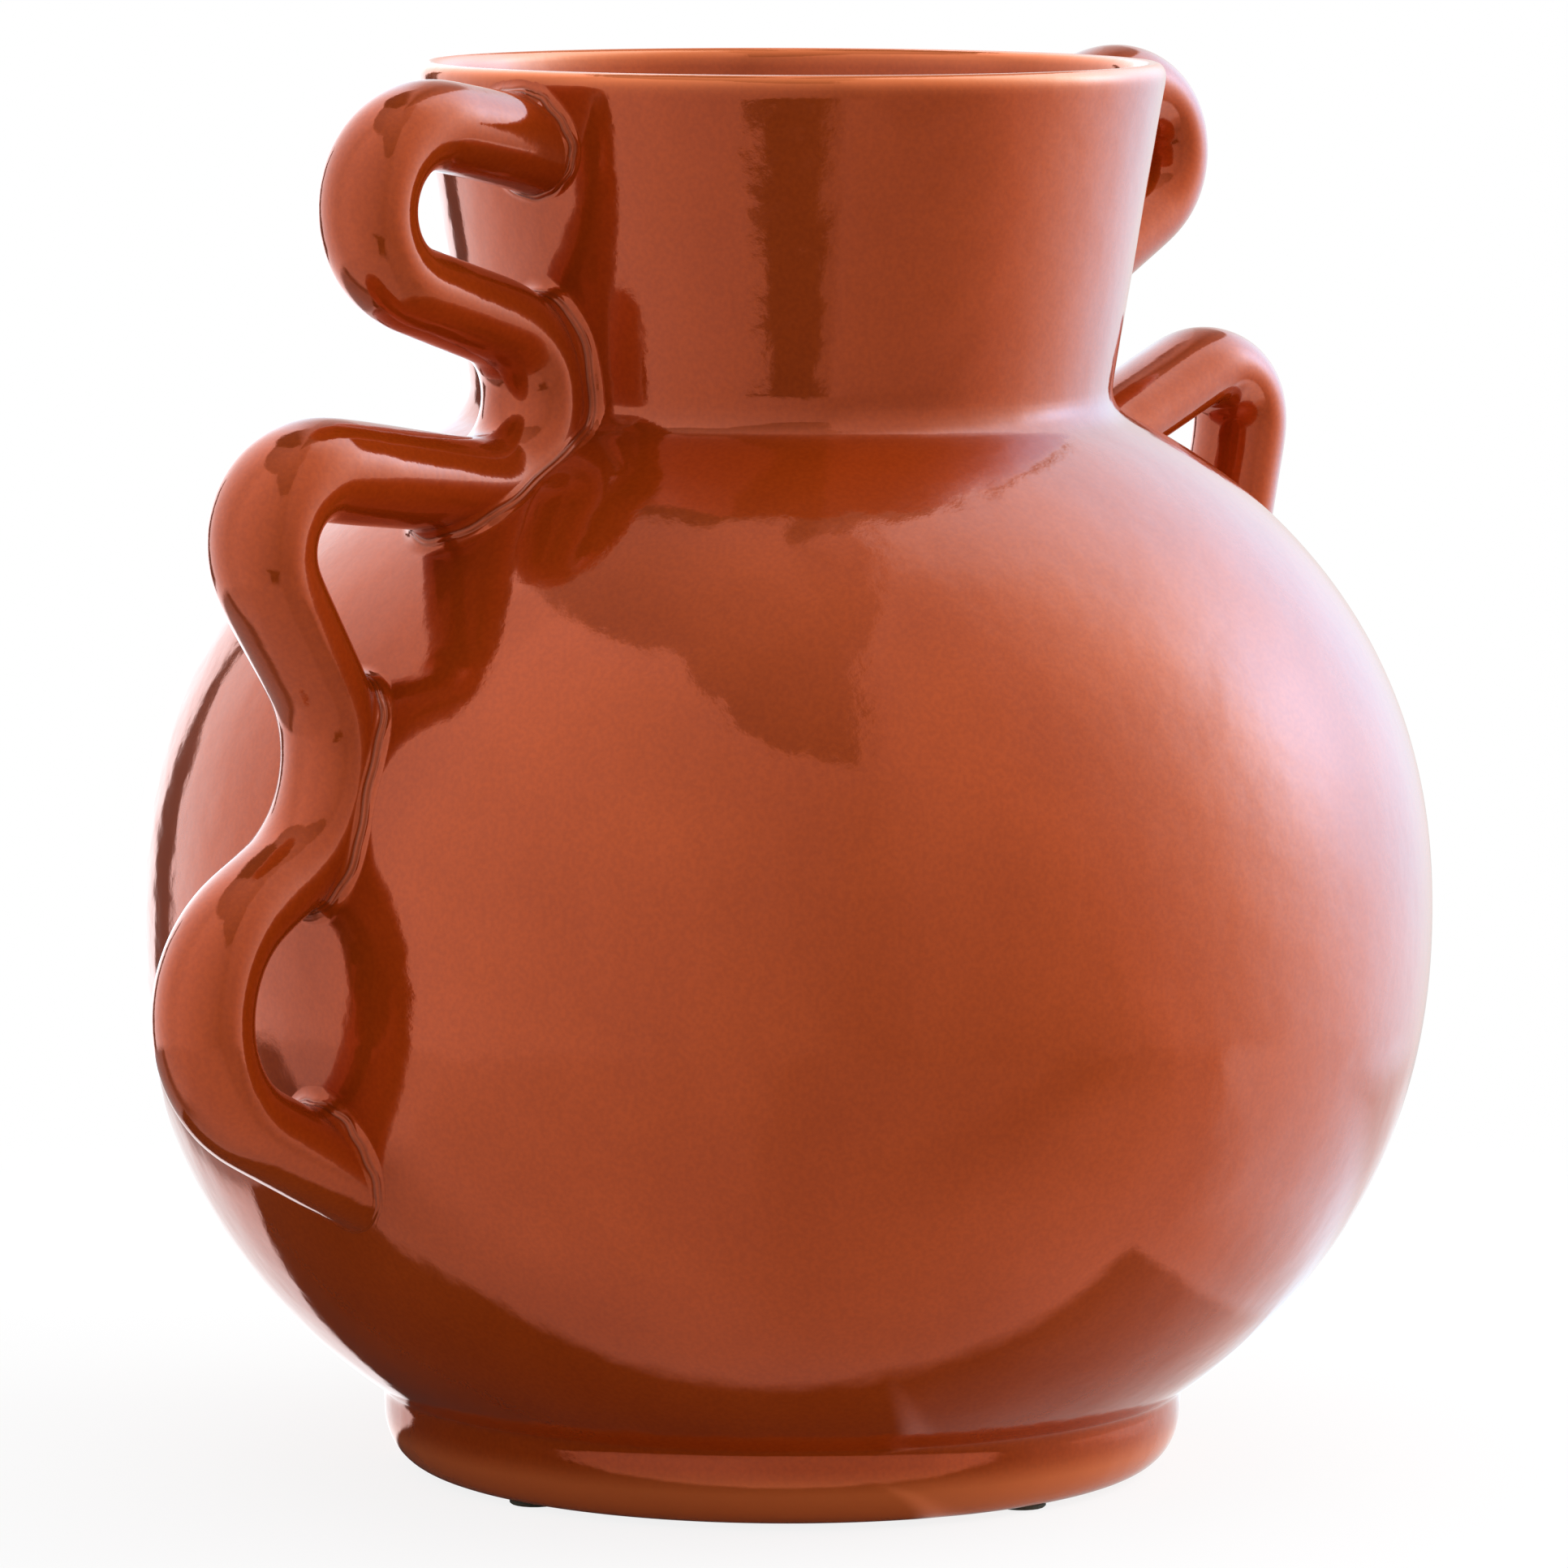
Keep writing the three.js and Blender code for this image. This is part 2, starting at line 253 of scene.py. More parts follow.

# The floor. To the camera it is plain white by a share and matt for the rest, and toward its rim it turns
# wholly white and then clear, over these ranges of its radius. The glaze sees its patches, which are painted
# light and painted shadows, among them the vase's shadow and a handle's, placed in millimetres, rightward
# and away from the camera. Their rightness is 1 at so many millimetres.
FLOOR_RADIUS = 0.48
FLOOR_SIDES = 96
FLOOR_COLOUR = (0.9, 0.9, 0.9)
FLOOR_WHITENESS = 0.85
FLOOR_WHITENING = (0.5, 0.97)
FLOOR_CLEARING = (0.8, 0.98)
FLOOR_SIDE_REACH = 200
FLOOR_LEVEL = 0.54
FLOOR_PAINTED_LIGHT_AND_SHADOW = [
    ([(-360, -500), (-10, -500), (-10, -110), (-360, -110)], 25, 1.12, (-0.0012, 0)),
    ([(-500, -400), (-200, -130), (-200, 0), (-500, 0)], 20, 1.1, (0, 0)),
    ([(5, -330), (60, -330), (60, -95), (5, -95)], 20, 0.55, (0, 0)),
    ([(60, -200), (500, -350), (500, 500), (60, 500)], 40, 0.44, (0.001, 0.0045)),
    ([(165, -60), (500, -140), (500, 500), (190, 500), (150, 60)], 30, 2.2, (0.0015, 0.0008)),
    ([(25, -92), (118, -92), (118, 60), (60, 60)], 4, 0.02, (0.002, 0.008)),
    ([(-300, 120), (300, 120), (300, 500), (-300, 500)], 45, 1.2, (0, 0)),
    ([(-190, 26), (-60, -12), (-60, 500), (-260, 500)], 4, 1.5, (0, -0.001)),
    ([(-185, -80), (-185, 28), (-260, 500), (-500, 500), (-500, 60)], 14, 0.5, (0, 0)),
    ([(-500, 90), (-500, 30), (-180, -95), (-180, -60)], 14, 0.2, (0, 0)),
    ([(-200, -50), (-85, -92), (27, -92), (27, -20), (-190, 32)], 3, 0.03, (0, 0)),
]

# The level directions away from the camera and to its right.
away = Vector((
    math.sin(math.radians(-CAMERA_AZIMUTH)),
    math.cos(math.radians(-CAMERA_AZIMUTH)),
    0.0,
))
rightward = Vector((away.y, -away.x, 0.0))


def ball_radius(height, inset=0.0):
    """The radius of the ball's outline at each height, in millimetres."""
    rise = np.asarray(height, float) - BALL_CENTRE
    reach = np.where(rise > 0, BALL_UPPER_REACH, BALL_LOWER_REACH) - inset
    fullness = np.where(rise > 0, BALL_UPPER_FULLNESS, BALL_LOWER_FULLNESS)
    share = np.clip(1 - np.abs(rise / reach) ** fullness, 0, None)
    return (BALL_RADIUS - inset) * share ** (1 / fullness)


def ball_height(radius, upper, inset=0.0):
    """The height at which the ball's outline has a radius, above or below its middle."""
    reach = (BALL_UPPER_REACH if upper else BALL_LOWER_REACH) - inset
    fullness = BALL_UPPER_FULLNESS if upper else BALL_LOWER_FULLNESS
    rise = reach * (1 - (radius / (BALL_RADIUS - inset)) ** fullness) ** (1 / fullness)
    return BALL_CENTRE + (rise if upper else -rise)


def ball_arc(low_radius, high_radius, steps, inset=0.0):
    """The ball's outline between two radii, through its widest point."""
    low = math.acos(low_radius / (BALL_RADIUS - inset))
    high = math.acos(high_radius / (BALL_RADIUS - inset))
    angles = np.linspace(-low, high, steps)
    radii = (BALL_RADIUS - inset) * np.cos(angles)
    return [(r, ball_height(r, a > 0, inset)) for r, a in zip(radii, angles)]


def arc(centre, reach, start, stop, steps):
    """Part of an ellipse's outline, between two angles in degrees."""
    angles = np.radians(np.linspace(start, stop, steps))
    return [(centre[0] + reach[0] * np.cos(a), centre[1] + reach[1] * np.sin(a)) for a in angles]


# Sizes that follow from those at the top.
NECK_BASE_HEIGHT = ball_height(NECK_BASE_RADIUS, True)
LIP_ROUND = WALL / 2
NECK_TOP = BODY_HEIGHT - LIP_ROUND
NECK_SLOPE = math.atan2(RIM_RADIUS - NECK_BASE_RADIUS, NECK_TOP - NECK_BASE_HEIGHT)


def outside_outline():
    """The outline from the middle of the foot's well out, up and round the lip to its top."""
    outline = [
        (0.0, FOOT_WELL_DEPTH),
        (FOOT_WELL_RADIUS - FOOT_WELL_DEPTH / 2, FOOT_WELL_DEPTH),
        (FOOT_WELL_RADIUS, 0.0),
        (FOOT_UNDERSIDE_RADIUS, 0.0),
    ]
    foot_reach = (FOOT_RADIUS - FOOT_UNDERSIDE_RADIUS, FOOT_ROUND)
    outline += arc((FOOT_UNDERSIDE_RADIUS, FOOT_ROUND), foot_reach, -90, 0, 2 * ARC_POINTS)[1:]
    outline += ball_arc(FOOT_RADIUS, NECK_BASE_RADIUS + CREASE_FILLET, BALL_POINTS)
    low = np.array(outline[-1])
    crease = np.array((NECK_BASE_RADIUS, NECK_BASE_HEIGHT))
    high = crease + CREASE_FILLET * np.array((math.sin(NECK_SLOPE), math.cos(NECK_SLOPE)))
    for t in np.linspace(0, 1, ARC_POINTS + 1)[1:]:
        outline.append(tuple((1 - t) ** 2 * low + 2 * t * (1 - t) * crease + t**2 * high))
    outline += arc((RIM_RADIUS - LIP_ROUND, NECK_TOP), (LIP_ROUND, LIP_ROUND), 0, 90, ARC_POINTS)
    return outline


def inside_outline():
    """The outline from the lip's top down the inside to the middle of the floor."""
    floor = FOOT_WELL_DEPTH + FLOOR_THICKNESS
    floor_radius = FOOT_WELL_RADIUS - WALL
    outline = arc((RIM_RADIUS - LIP_ROUND, NECK_TOP), (LIP_ROUND, LIP_ROUND), 90, 180, ARC_POINTS)[1:]
    outline += ball_arc(floor_radius + WALL, NECK_BASE_RADIUS - WALL, BALL_POINTS // 2, WALL)[::-1]
    outline += [(floor_radius, floor), (0.0, floor)]
    return outline


def resampled(line, step):
    """Points at even steps along a line of points."""
    lengths = np.linalg.norm(np.diff(line, axis=0), axis=1)
    along = np.concatenate([[0], np.cumsum(lengths)])
    at = np.linspace(0, along[-1], int(along[-1] / step) + 1)
    return np.stack([np.interp(at, along, line[:, k]) for k in range(line.shape[1])], 1)


def softened(line, step, softness):
    """A line with its corners rounded by averaging over a short length, and its ends kept."""
    reach = int(4 * softness / step)
    weights = np.exp(-0.5 * (np.arange(-reach, reach + 1) * step / softness) ** 2)
    weights /= weights.sum()
    before = 2 * line[0] - line[reach:0:-1]
    after = 2 * line[-1] - line[-2:-reach - 2:-1]
    long = np.concatenate([before, line, after])
    return np.stack([np.convolve(long[:, k], weights, "valid") for k in range(line.shape[1])], 1)


def nearness(places, centre, reach):
    """A share that is 1 at a centre and dies out softly on both sides of it."""
    return np.exp(-(((places - centre) / reach) ** 2))


def unevenness(angle, height):
    """How far the thrown wall stands out from a true turned shape, in millimetres, which is never outward.
    The hand's waves die out at foot and lip, and the neck is pressed in on one side."""
    swell = np.sin(math.pi * np.clip(height / BODY_HEIGHT, 0, 1))
    wave = 0
    for share, swings, start, turn in HAND_WAVES:
        wave = wave + share * (np.sin(swings * angle + start + turn * height) - 1)
    rise = np.clip((height - NECK_BASE_HEIGHT + NECK_PRESSED_BELOW) / NECK_PRESSED_WITHIN, 0, 1)
    pressed = rise**2 * (3 - 2 * rise) * (np.cos(angle - math.radians(NECK_TRUE_SIDE)) - 1)
    return HAND_UNEVENNESS * swell * wave + NECK_PRESSED * pressed


# The whole outline as points, and the part of it outside, up to the lip's top, with its outward directions.
whole_outline = resampled(np.array(outside_outline() + inside_outline()), OUTLINE_STEP)
whole_outline = softened(whole_outline, OUTLINE_STEP, OUTLINE_SOFTNESS)
whole_outline[:, 1] = np.maximum(whole_outline[:, 1], 0.0)
lip_place = int(np.argmax(whole_outline[:, 1]))
wall_line = whole_outline[:lip_place + 1]
wall_tangent = np.gradient(wall_line, axis=0)
wall_tangent /= np.linalg.norm(wall_tangent, axis=1)[:, None]
wall_normal = np.stack([wall_tangent[:, 1], -wall_tangent[:, 0]], 1)


def wall_distance(points):
    """How far points stand off the body's outside, and the outward direction there."""
    angle = np.arctan2(points[:, 1], points[:, 0])
    radius = np.hypot(points[:, 0], points[:, 1]) - unevenness(angle, points[:, 2])
    flat = np.stack([radius, points[:, 2]], 1)
    nearest = np.zeros(len(flat), int)
    at_once = 4000
    for start in range(0, len(flat), at_once):
        part = flat[start:start + at_once, None, :] - wall_line[None, :, :]
        nearest[start:start + at_once] = np.argmin((part**2).sum(2), 1)
    normal = wall_normal[nearest]
    distance = ((flat - wall_line[nearest]) * normal).sum(1)
    outward = np.stack([normal[:, 0] * np.cos(angle), normal[:, 0] * np.sin(angle), normal[:, 1]], 1)
    return distance, outward


def height_of(level):
    """The height of a level, in millimetres."""
    return float(np.interp(level, [0, 1, 2, 3], [0, BALL_CENTRE, NECK_BASE_HEIGHT, BODY_HEIGHT]))


def wall_radius(height):
    """The radius of the body's outside at a height, in millimetres."""
    if height < NECK_BASE_HEIGHT:
        return float(ball_radius(height))
    return NECK_BASE_RADIUS + (height - NECK_BASE_HEIGHT) * math.tan(NECK_SLOPE)


def coil_line(bends):
    """The coil's middle line: arcs round the centres of its bends, joined by their common tangents. Each of
    its points has its distance from the axis, its height and the line's heading there."""
    places = [COIL_START, *bends, COIL_END]
    heights = [height_of(level) for level, off, radius in places]
    centres = np.array([(wall_radius(height) + place[1], height) for place, height in zip(places, heights)])
    leans = [radius * (-1) ** i for i, (level, off, radius) in enumerate(places)]
    ways = np.diff(centres, axis=0)
    headings = [
        math.atan2(way[1], way[0]) - math.asin((leans[i + 1] - leans[i]) / math.hypot(*way))
        for i, way in enumerate(ways)
    ]
    line = [centres[0]]
    for i, heading in enumerate(headings[:-1], 1):
        side = math.copysign(1, leans[i])
        turn = side * ((side * (headings[i] - heading)) % (2 * math.pi))
        for at in heading + turn * np.linspace(0, 1, BEND_POINTS):
            line.append(centres[i] + leans[i] * np.array((math.sin(at), -math.cos(at))))
    line.append(centres[-1])
    line = softened(resampled(np.array(line), COIL_STEP), COIL_STEP, COIL_SOFTNESS)
    way = np.gradient(line, axis=0)
    return np.concatenate([line, np.arctan2(way[:, 1], way[:, 0])[:, None]], 1)


def coil_surface(handle, line, margin):
    """Points round the coil at each step along it, grown by a margin, and the outward directions there."""
    angles = np.linspace(0, 2 * math.pi, COIL_SIDES, endpoint=False)
    places, amounts = np.array(handle["swell"]).T
    swell = 1 + np.interp(np.arange(len(line)) * COIL_STEP, places, amounts)
    swell = softened(swell[:, None], COIL_STEP, SWELL_SOFTNESS)
    thick = handle["thickness"] / 2 * swell
    wide = handle["width"] / 2 * swell
    normal_out = np.cos(angles) / thick
    normal_across = np.sin(angles) / wide
    length = np.hypot(normal_out, normal_across)
    normal_out /= length
    normal_across /= length
    out = thick * np.cos(angles) + margin * normal_out
    across = wide * np.sin(angles) + margin * normal_across
    radius, height, heading = (line[:, k, None] for k in range(3))
    points = np.stack([radius - out * np.sin(heading), across, height + out * np.cos(heading)], 2)
    normals = np.stack([-normal_out * np.sin(heading), normal_across, normal_out * np.cos(heading)], 2)
    turn = np.array((handle["sign"], handle["sign"], 1.0))
    return points * turn, normals * turn


def contour_loops(field):
    """Closed loops where a field on the coil's grid passes through nought, as places along the grid's edges.
    The loops go from cell to cell of the grid, through the edges whose ends lie on two sides of nought."""
    columns = field.shape[1]
    above = field > 0
    beside = above != np.roll(above, -1, 1)
    links = {}
    for i, k in np.argwhere((above[:-1] != above[1:]) | beside[:-1] | beside[1:]):
        right = (k + 1) % columns
        corners = [(i, k), (i + 1, k), (i + 1, right), (i, right)]
        crossed = [
            frozenset((corners[c], corners[c - 3])) for c in range(4)
            if above[corners[c]] != above[corners[c - 3]]
        ]
        for a, b in zip(crossed[::2], crossed[1::2]):
            links.setdefault(a, []).append(b)
            links.setdefault(b, []).append(a)
    loops = []
    while links:
        at = next(iter(links))
        loop = []
        while at is not None:
            loop.append(at)
            following = [other for other in links.pop(at) if other in links]
            at = following[0] if following else None
        loops.append(loop)
    return loops


def slip_paths(handle, line):
    """The paths of a ball of the slip's radius that rolls round each contact of coil and wall, from the top
    down. Each point of a path has its place and the coil's outward direction there."""
    centres, normals = coil_surface(handle, line, SLIP_RADIUS)
    distance, outward = wall_distance(centres.reshape(-1, 3))
    field = distance.reshape(centres.shape[:2]) - SLIP_RADIUS
    rows = np.concatenate([centres, normals], 2)
    paths = []
    for loop in contour_loops(field):
        path = []
        for a, b in map(sorted, loop):
            share = field[a] / (field[a] - field[b])
            path.append((1 - share) * rows[a] + share * rows[b])
        path = np.array(path + path[:1])
        if np.linalg.norm(np.diff(path[:, :3], axis=0), axis=1).sum() > SLIP_SHORTEST:
            paths.append(path)
    return sorted(paths, key=lambda path: -path[:, 2].mean())


def unit(vectors):
    """Vectors brought to a length of 1."""
    return vectors / np.linalg.norm(vectors, axis=-1, keepdims=True)


def closed_and_even(path, step, rounds):
    """A closed path at even steps, with its small jumps averaged out."""
    lengths = np.linalg.norm(np.diff(path[:, :3], axis=0), axis=1)
    along = np.concatenate([[0], np.cumsum(lengths)])
    at = np.linspace(0, along[-1], int(along[-1] / step), endpoint=False)
    even = np.stack([np.interp(at, along, path[:, k]) for k in range(path.shape[1])], 1)
    for i in range(rounds):
        even = (np.roll(even, 1, 0) + 2 * even + np.roll(even, -1, 0)) / 4
    return even


def new_mesh_object(name, points, faces, material, attributes):
    """A smooth-shaded mesh object in metres, with named numbers on its points."""
    points = points + np.array((0, 0, PAD_THICKNESS))
    mesh = bpy.data.meshes.new(name)
    mesh.from_pydata((points * MM).tolist(), [], faces)
    mesh.validate()
    for attribute, values in attributes.items():
        layer = mesh.attributes.new(attribute, "FLOAT", "POINT")
        layer.data.foreach_set("value", np.asarray(values, np.float32))
    mesh.polygons.foreach_set("use_smooth", [True] * len(mesh.polygons))
    mesh.materials.append(material)
    piece = bpy.data.objects.new(name, mesh)
    bpy.context.collection.objects.link(piece)
    return piece


def ring_faces(rows, columns, closed_rows=False):
    """The faces of a grid of points whose rows close on themselves."""
    faces = []
    for i in range(rows if closed_rows else rows - 1):
        following = (i + 1) % rows
        for k in range(columns):
            right = (k + 1) % columns
            faces.append((
                i * columns + k,
                i * columns + right,
                following * columns + right,
                following * columns + k,
            ))
    return faces


def ring_places(line):
    """The places along an outline where the mesh has a ring, closer together where the outline turns."""
    way = np.diff(line, axis=0)
    turn = np.abs(np.diff(np.unwrap(np.arctan2(way[:, 1], way[:, 0]))))
    amount = np.cumsum(OUTLINE_STEP / RING_STEP + turn / RING_TURN)
    return 1 + np.flatnonzero(np.diff(np.floor(amount)))


def make_body(material):
    """The turned body, hollow, with soft corners and a little of the hand's unevenness."""
    outer_places = ring_places(wall_line)
    inner_line = whole_outline[lip_place:]
    ring = np.concatenate([wall_line[outer_places], inner_line[ring_places(inner_line)]])
    angles = np.linspace(0, 2 * math.pi, BODY_SEGMENTS, endpoint=False)
    height = np.repeat(ring[:, 1], BODY_SEGMENTS)
    around = np.tile(angles, len(ring))
    radius = np.repeat(ring[:, 0], BODY_SEGMENTS) + unevenness(around, height)
    points = np.stack([radius * np.cos(around), radius * np.sin(around), height], 1)
    ends = np.array([[0, 0, FOOT_WELL_DEPTH], [0, 0, FOOT_WELL_DEPTH + FLOOR_THICKNESS]])
    points = np.concatenate([points, ends])
    faces = ring_faces(len(ring), BODY_SEGMENTS)
    low = len(ring) * BODY_SEGMENTS
    top = low - BODY_SEGMENTS
    for k in range(BODY_SEGMENTS):
        right = (k + 1) % BODY_SEGMENTS
        faces.append((low, right, k))
        faces.append((low + 1, top + k, top + right))
    height = points[:, 2]
    outside = np.arange(len(points)) < len(outer_places) * BODY_SEGMENTS
    crease = CREASE_POOLED * outside * nearness(height, NECK_BASE_HEIGHT + CREASE_RISE, CREASE_REACH)
    # The lip turns toward the light colour where the glaze breaks at its edge, with a painted highlight laid
    # on it.
    lip = LIP_THIN_AND_PAINTED_HIGHLIGHT * nearness(height, BODY_HEIGHT, LIP_REACH)
    # The foot's lower edge is turned toward the light colour as a painted reflection.
    foot = FOOT_PAINTED_REFLECTION * outside * np.clip((FOOT_ROUND - height) / FOOT_REACH, 0, 1)
    piece = new_mesh_object("body_shell", points, faces, material, {"pool": crease, "thin_and_painted_sheen": lip + foot})
    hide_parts("vase_body")
    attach(piece, "root")


def make_handle(side, handle, line, material):
    """One coil, sunk a little way into the wall where they meet."""
    points, normals = coil_surface(handle, line, 0)
    points = points.reshape(-1, 3)
    distance, outward = wall_distance(points)
    sunk = np.clip(-COIL_DEPTH - distance, 0, None)
    points = points + outward * sunk[:, None]
    faces = ring_faces(len(line), COIL_SIDES)
    last = (len(line) - 1) * COIL_SIDES
    faces.append(tuple(reversed(range(COIL_SIDES))))
    faces.append(tuple(range(last, last + COIL_SIDES)))
    none = np.zeros(len(points))
    piece = new_mesh_object("coil_" + side, points, faces, material, {"pool": none, "thin_and_painted_sheen": none})
    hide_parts("handle_" + side)
    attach(piece, "root")


def make_slip(side, place, path, material):
    """One hollow fillet of slip, tangent to the wall and to the coil, as a closed ring of little thickness.
    """
    path = closed_and_even(path, SLIP_STEP, SLIP_SMOOTHINGS)
    centre = path[:, :3]
    distance, outward = wall_distance(centre)
    centre = centre + (SLIP_RADIUS - distance)[:, None] * outward
    to_wall = -outward
    to_coil = -unit(path[:, 3:])
    tangent = unit(np.roll(centre, -1, 0) - np.roll(centre, 1, 0))
    inward = unit(np.cross(tangent, to_wall))
    inward *= np.sign((inward * to_coil).sum(1).sum())
    sweep = np.arctan2((to_coil * inward).sum(1), (to_coil * to_wall).sum(1)) % (2 * math.pi)
    along = np.arange(len(centre)) * 2 * math.pi / len(centre)
    middle = 0.5
    for share, swings, start in GROOVE_WANDER:
        middle = middle + share * np.sin(swings * along + start)
    face = np.linspace(0, 1, SLIP_FACE_POINTS)[None, :]
    back = np.linspace(1, 0, SLIP_BACK_POINTS)[None, :]
    offset = (face - middle[:, None]) * sweep[:, None] * SLIP_RADIUS
    groove = nearness(offset, GROOVE_SPACING / 2, GROOVE_WIDTH)
    groove += GROOVE_SECOND * nearness(offset, -GROOVE_SPACING / 2, GROOVE_WIDTH)
    smooth = np.zeros((len(centre), SLIP_BACK_POINTS))
    reach = np.concatenate([SLIP_RADIUS + GROOVE_DEPTH * groove, SLIP_RADIUS + SLIP_BACK + smooth], 1)
    angle = np.concatenate([face * sweep[:, None], back * sweep[:, None]], 1)
    points = (
        centre[:, None, :]
        + (reach * np.cos(angle))[..., None] * to_wall[:, None, :]
        + (reach * np.sin(angle))[..., None] * inward[:, None, :]
    )
    faces = ring_faces(len(centre), angle.shape[1], True)
    normal = np.cross(points[0, 1] - points[0, 0], points[1, 0] - points[0, 0])
    if np.dot(normal, centre[0] - points[0, 0]) < 0:
        faces = [face[::-1] for face in faces]
    pool = np.concatenate([groove, smooth], 1).ravel()
    name = f"slip_{side}_{place}"
    piece = new_mesh_object(name, points.reshape(-1, 3), faces, material, {"pool": pool, "thin_and_painted_sheen": 0 * pool})
    piece.data.set_sharp_from_angle(angle=SLIP_SHARP)
    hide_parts(f"slip_seam_{side}_{place}")
    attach(piece, "root")


def nodes_of(name):
    """A new material with its node tree emptied."""
    material = bpy.data.materials.new(name)
    material.use_nodes = True
    material.node_tree.nodes.clear()
    return material, material.node_tree


def add_node(tree, kind, **settings):
    """A new node with some of its inputs or settings given by name."""
    node = tree.nodes.new(kind)
    for key, value in settings.items():
        if key in node.inputs:
            node.inputs[key].default_value = value
        else:
            setattr(node, key, value)
    return node


def connect(tree, value, socket):
    """Joins a socket to an input, or sets the input to a plain number or colour."""
    if hasattr(value, "is_output"):
        tree.links.new(value, socket)
    else:
        socket.default_value = value


def maths(tree, operation, a, b=0.0):
    """The result of a sum on two numbers."""
    node = add_node(tree, "ShaderNodeMath", operation=operation)
    connect(tree, a, node.inputs[0])
    connect(tree, b, node.inputs[1])
    return node.outputs[0]


def dot(tree, vector, fixed):
    """How far a vector goes along a fixed one, times that one's length."""
    node = add_node(tree, "ShaderNodeVectorMath", operation="DOT_PRODUCT")
    tree.links.new(vector, node.inputs[0])
    node.inputs[1].default_value = fixed
    return node.outputs["Value"]


def blended(tree, share, a, b, data_type="FLOAT", blend_type="MIX"):
    """A number or colour with another laid over it by a share."""
    node = add_node(tree, "ShaderNodeMix", data_type=data_type, blend_type=blend_type)
    connect(tree, share, node.inputs["Factor"])
    connect(tree, a, node.inputs["A"])
    connect(tree, b, node.inputs["B"])
    return node.outputs["Result"]


def blended_shader(tree, share, a, b):
    """A shader with another laid over it by a share."""
    node = add_node(tree, "ShaderNodeMixShader")
    for value, socket in zip((share, a, b), node.inputs):
        tree.links.new(value, socket)
    return node.outputs[0]


def ranged(tree, value, low, high, start=0.0, end=1.0, interpolation_type="SMOOTHSTEP"):
    """A number that goes from its start to its end while a value goes from low to high."""
    node = add_node(tree, "ShaderNodeMapRange", interpolation_type=interpolation_type)
    node.inputs["From Min"].default_value = low
    node.inputs["From Max"].default_value = high
    node.inputs["To Min"].default_value = start
    node.inputs["To Max"].default_value = end
    tree.links.new(value, node.inputs["Value"])
    return node.outputs["Result"]


def noise(tree, place, scale, detail, roughness=0.5):
    """A cloudy pattern of numbers round a half."""
    node = add_node(tree, "ShaderNodeTexNoise", Scale=scale, Detail=detail, Roughness=roughness)
    tree.links.new(place, node.inputs["Vector"])
    return node.outputs["Fac"]


def shaded(tree, value, low, high, dark, light):
    """A colour that goes from dark to light while a value goes from low to high."""
    node = add_node(tree, "ShaderNodeValToRGB")
    for stop, place, colour in zip(node.color_ramp.elements, (low, high), (dark, light)):
        stop.position = place
        stop.color = (*colour, 1)
    tree.links.new(value, node.inputs["Fac"])
    return node.outputs["Color"]


def turned_where(tree, attribute, strength, colour, other):
    """A colour that turns into another by a number on the mesh's points, times a strength."""
    amount = add_node(tree, "ShaderNodeAttribute", attribute_name=attribute).outputs["Fac"]
    return blended(tree, maths(tree, "MULTIPLY", amount, strength), colour, (*other, 1), "RGBA")


def relief(tree, height, strength, distance):
    """A node that tilts the surface's normal as if the surface rose and fell with a height."""
    node = add_node(tree, "ShaderNodeBump", Strength=strength, Distance=distance)
    tree.links.new(height, node.inputs["Height"])
    return node


def painted(tree, place, level, patches):
    """A level by place on a flat map: soft-edged convex patches, each laid over the ones before. A patch has
    its corners, its softness, its level at its first corner, and how the level grows along each axis."""
    for corners, softness, start, growth in patches:
        corners = np.array(corners, float)
        ends = np.roll(corners, -1, 0)
        area = (corners[:, 0] * ends[:, 1] - corners[:, 1] * ends[:, 0]).sum()
        depth = None
        for low, high in zip(corners, ends):
            way = (high - low) / np.hypot(*(high - low)) * math.copysign(1, area)
            inside = dot(tree, place, (-way[1], way[0], way[1] * low[0] - way[0] * low[1]))
            depth = inside if depth is None else maths(tree, "MINIMUM", depth, inside)
        own = dot(tree, place, (*growth, start - np.dot(growth, corners[0])))
        level = blended(tree, ranged(tree, depth, -softness, softness), level, own)
    return level


def glow(tree, place, centre, reach, peak):
    """A round soft glow on the map."""
    across = dot(tree, place, (1 / reach[0], 0, -centre[0] / reach[0]))
    up = dot(tree, place, (0, 1 / reach[1], -centre[1] / reach[1]))
    square = maths(tree, "ADD", maths(tree, "MULTIPLY", across, across), maths(tree, "MULTIPLY", up, up))
    return maths(tree, "MULTIPLY", maths(tree, "EXPONENT", maths(tree, "MULTIPLY", square, -0.5)), peak)


def map_place(tree, across, up):
    """A place on a map, with a 1 as its third number, so that a dot product can add a fixed amount."""
    node = add_node(tree, "ShaderNodeCombineXYZ")
    tree.links.new(across, node.inputs[0])
    tree.links.new(up, node.inputs[1])
    node.inputs[2].default_value = 1.0
    return node.outputs[0]


def cooled(tree, level, rightness):
    """The colour of light of a level: white up to 1, and cooler the stronger it is beyond that."""
    strong = maths(tree, "MAXIMUM", level, 1.0)
    side = ranged(tree, rightness, *COOLING_SIDES, start=COOLING_LEFT)
    colour = add_node(tree, "ShaderNodeCombineColor")
    for channel, cooling in enumerate((COOLING_RED, COOLING_GREEN)):
        power = maths(tree, "MULTIPLY", side, cooling)
        tree.links.new(maths(tree, "POWER", strong, power), colour.inputs[channel])
    colour.inputs[2].default_value = 1.0
    return colour.outputs[0]


